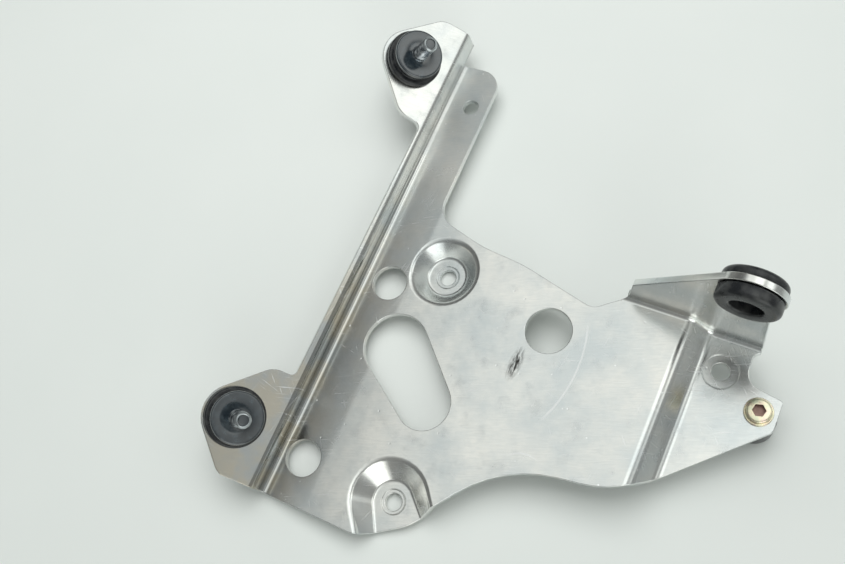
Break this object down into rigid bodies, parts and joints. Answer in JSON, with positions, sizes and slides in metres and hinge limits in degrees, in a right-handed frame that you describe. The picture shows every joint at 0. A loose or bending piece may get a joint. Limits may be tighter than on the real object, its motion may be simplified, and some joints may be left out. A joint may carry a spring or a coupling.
{
  "type": "instrument bracket",
  "caption": "Pressed aluminium motorcycle instrument bracket with rubber stud isolators on raised ears, an upright grommet tab, sunk dimples and a stepped-down corner on a rubber foot.",
  "frame": {"origin": "on the main plate's top face, midway between the two ears and 50 mm from the channel wall", "axes": "+Z is the main plate's normal, on the side of the tab and studs; +Y runs along the channel towards the upper ear; +X runs from the channel towards the stepped-down corner"},
  "size_m": [0.186, 0.2022, 0.074],
  "materials": {
    "pressed_aluminium": "semi-polished with fine scratches",
    "black_rubber": "satin",
    "blackened_steel": "dark satin",
    "clear_zinc_steel": "clear zinc",
    "yellow_zinc_steel": "yellow zinc"
  },
  "bodies": {
    "root": {"bracket_plate": "pressed_aluminium", "upper_isolator_rubber": "black_rubber", "upper_isolator_stud": "blackened_steel", "upper_isolator_base": "clear_zinc_steel", "upper_isolator_washer": "clear_zinc_steel", "upper_isolator_nut": "clear_zinc_steel", "lower_isolator_rubber": "black_rubber", "lower_isolator_stud": "blackened_steel", "lower_isolator_base": "clear_zinc_steel", "lower_isolator_washer": "clear_zinc_steel", "lower_isolator_nut": "clear_zinc_steel", "tab_grommet": "black_rubber", "cap_screw": "yellow_zinc_steel", "foot_rubber": "black_rubber", "foot_insert": "clear_zinc_steel"}
  },
  "joints": []
}
